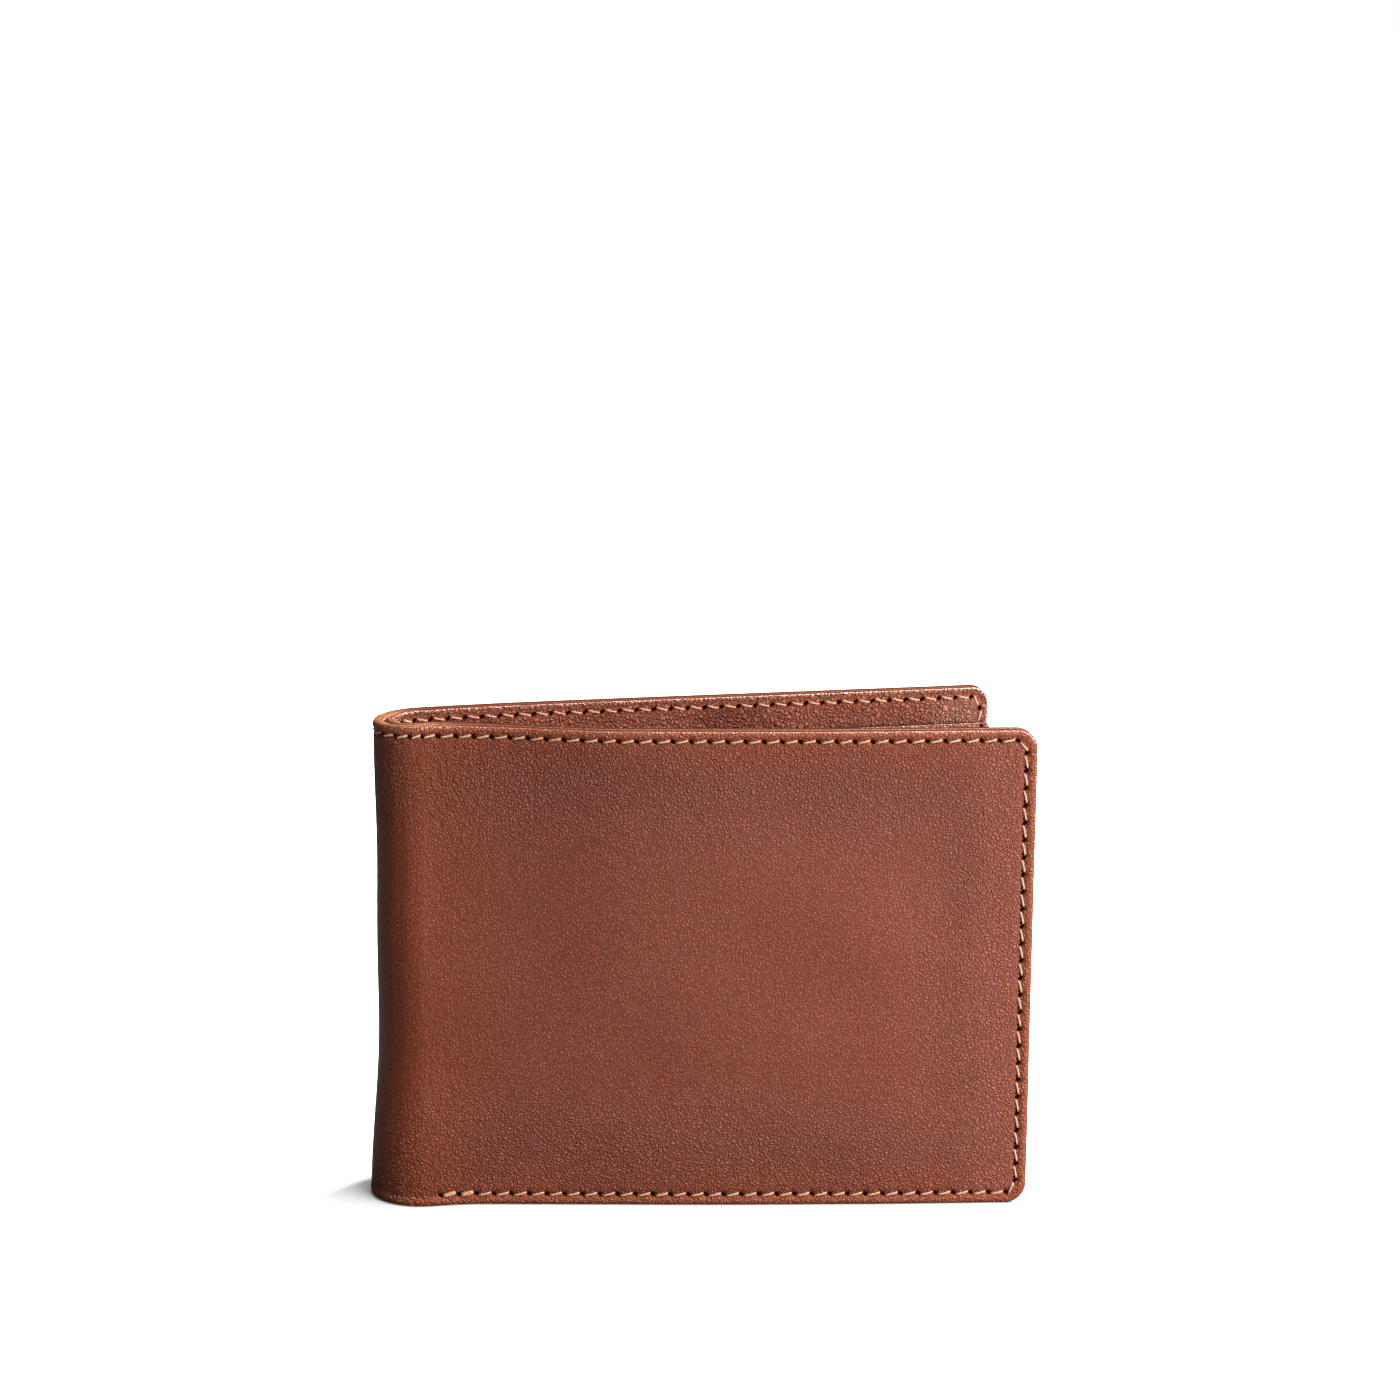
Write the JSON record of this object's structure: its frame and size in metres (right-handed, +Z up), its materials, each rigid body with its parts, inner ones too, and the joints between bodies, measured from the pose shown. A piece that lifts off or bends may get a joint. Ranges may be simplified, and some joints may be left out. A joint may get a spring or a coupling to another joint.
{
  "type": "bifold wallet",
  "caption": "Slim leather bifold wallet with stitched edges, a full-width note compartment and stepped card slots inside, standing a little open on its bottom edge.",
  "frame": {"origin": "centre of the footprint's bounding box, on the surface that the bottom edge stands on", "axes": "+X along the front half from the spine to the free edge, +Y from the front half towards the back half, +Z up from the bottom edge to the note compartment's mouth"},
  "size_m": [0.1176, 0.0434, 0.0875],
  "materials": {
    "shell_leather": "smooth cognac-brown calf leather, satin",
    "lining_leather": "thin pebble-grain lining leather, satin",
    "pocket_leather": "smooth cognac-brown leather with creased edges, satin",
    "pocket_fabric": "thin dark brown woven lining, matt",
    "stiffener_board": "bonded leather board, matt",
    "thread": "waxed polyester thread in light tan, satin"
  },
  "bodies": {
    "back": {"back_shell": "shell_leather", "back_edge_stitching": "thread", "back_stiffener": "stiffener_board", "back_lining": "lining_leather", "back_lining_stitching": "thread", "back_bill_wall": "lining_leather", "back_card_panel": "pocket_leather", "back_card_slot_1": "pocket_leather", "back_card_slot_2": "pocket_leather", "back_card_slot_3": "pocket_leather", "back_slot_backing_1": "pocket_fabric", "back_slot_backing_2": "pocket_fabric", "back_slot_backing_3": "pocket_fabric", "back_card_pocket": "pocket_leather", "back_pocket_stitching": "thread"},
    "spine_back": {"spine_shell_back": "shell_leather", "spine_stitching_back": "thread", "spine_lining_back": "lining_leather"},
    "spine_middle": {"spine_shell_middle": "shell_leather", "spine_stitching_middle": "thread", "spine_lining_middle": "lining_leather"},
    "spine_front": {"spine_shell_front": "shell_leather", "spine_stitching_front": "thread", "spine_lining_front": "lining_leather"},
    "front": {"front_shell": "shell_leather", "front_edge_stitching": "thread", "front_stiffener": "stiffener_board", "front_lining": "lining_leather", "front_lining_stitching": "thread", "front_bill_wall": "lining_leather", "front_card_panel": "pocket_leather", "front_card_slot_1": "pocket_leather", "front_card_slot_2": "pocket_leather", "front_card_slot_3": "pocket_leather", "front_slot_backing_1": "pocket_fabric", "front_slot_backing_2": "pocket_fabric", "front_slot_backing_3": "pocket_fabric", "front_card_pocket": "pocket_leather", "front_pocket_stitching": "thread"}
  },
  "joints": [
    {"name": "fold", "type": "hinge", "parent": "back", "child": "spine_back", "pos_m": [-0.05394, -0.00352, 0.04375], "axis": [0, 0, -1], "range_deg": [-3.1, 41.85]},
    {"name": "fold_2", "type": "hinge", "parent": "spine_back", "child": "spine_middle", "pos_m": [-0.05793, -0.00908, 0.04375], "axis": [0, 0, -1], "range_deg": [-3.1, 41.85]},
    {"name": "fold_3", "type": "hinge", "parent": "spine_middle", "child": "spine_front", "pos_m": [-0.05718, -0.01589, 0.04375], "axis": [0, 0, -1], "range_deg": [-3.1, 41.85]},
    {"name": "fold_4", "type": "hinge", "parent": "spine_front", "child": "front", "pos_m": [-0.05209, -0.02046, 0.04375], "axis": [0, 0, -1], "range_deg": [-3.1, 41.85]}
  ],
  "couplings": [
    {"joint": "fold_2", "follows": "fold", "ratio": 1},
    {"joint": "fold_3", "follows": "fold", "ratio": 1},
    {"joint": "fold_4", "follows": "fold", "ratio": 1}
  ]
}
